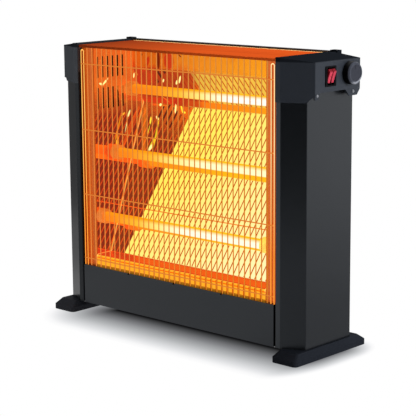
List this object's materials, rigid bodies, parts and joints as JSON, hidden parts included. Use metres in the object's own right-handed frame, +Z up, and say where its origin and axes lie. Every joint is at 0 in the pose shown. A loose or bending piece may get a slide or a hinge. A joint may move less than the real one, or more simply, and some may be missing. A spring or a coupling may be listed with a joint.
{
  "type": "quartz heater",
  "caption": "Free-standing quartz radiant heater: steel columns on cross feet, polished reflector, stepped quartz tubes behind a wire guard, rocker switches and a thermostat knob.",
  "frame": {"origin": "on the floor, midway between the side columns and midway along the feet", "axes": "+X across the heater towards the control cap, -Y out of the front, +Z up"},
  "size_m": [0.631, 0.2, 0.5235],
  "materials": {
    "painted_steel": "semi-gloss anthracite powder coat",
    "rear_steel": "matt black coat",
    "black_plastic": "fine-grained moulded plastic",
    "switch_plastic": "moulded, satin",
    "red_plastic": "translucent red, smooth",
    "knob_plastic": "moulded, satin with a turned face",
    "pad_rubber": "plain",
    "polished_sheet": "polished sheet, warm tinted by the glow",
    "plated_wire": "plated wire",
    "steel_sheet": "zinc-coated sheet",
    "quartz": "milky quartz, glowing",
    "resistance_wire": "dull resistance alloy",
    "ceramic": "unglazed steatite",
    "brass_parts": "plain",
    "screw_steel": "zinc plated",
    "lead_sleeve": "heat-proof sleeve",
    "inner_plastic": "moulded"
  },
  "bodies": {
    "casing": {"left_side_column": "painted_steel", "right_side_column": "painted_steel", "left_top_cap": "black_plastic", "right_control_cap": "black_plastic", "left_foot": "black_plastic", "right_foot": "black_plastic", "foot_pads": "pad_rubber", "front_lower_panel": "painted_steel", "rear_panel": "rear_steel", "top_plate": "polished_sheet", "base_plate": "steel_sheet", "back_reflector": "polished_sheet", "left_reflector_wall": "polished_sheet", "right_reflector_wall": "polished_sheet", "upper_quartz_tube": "quartz", "middle_quartz_tube": "quartz", "lower_quartz_tube": "quartz", "upper_heating_coil": "resistance_wire", "middle_heating_coil": "resistance_wire", "lower_heating_coil": "resistance_wire", "left_tube_ceramics": "ceramic", "right_tube_ceramics": "ceramic", "ceramic_clips": "screw_steel", "tube_terminals": "brass_parts", "left_bus_bar": "brass_parts", "supply_leads": "lead_sleeve", "wire_guard": "plated_wire", "switch_housing": "switch_plastic", "thermostat_body": "inner_plastic", "thermal_cutout": "inner_plastic", "tilt_switch": "inner_plastic", "terminal_block": "inner_plastic", "cord_gland": "switch_plastic", "cap_screws": "screw_steel", "foot_screws": "screw_steel", "rear_panel_screws": "screw_steel", "wall_screws": "screw_steel"},
    "front_rocker": {"front_rocker": "red_plastic"},
    "rear_rocker": {"rear_rocker": "red_plastic"},
    "knob": {"thermostat_knob": "knob_plastic", "thermostat_shaft": "screw_steel"}
  },
  "joints": [
    {"name": "front_rocker_tip", "type": "hinge", "parent": "casing", "child": "front_rocker", "pos_m": [0.305, -0.014, 0.488], "axis": [0, -1, 0], "range_deg": [0, 36]},
    {"name": "rear_rocker_tip", "type": "hinge", "parent": "casing", "child": "rear_rocker", "pos_m": [0.305, -0.014, 0.488], "axis": [0, -1, 0], "range_deg": [0, 36]},
    {"name": "knob_turn", "type": "hinge", "parent": "casing", "child": "knob", "pos_m": [0.3075, 0.038, 0.49], "axis": [-1, 0, 0], "range_deg": [0, 270]}
  ]
}
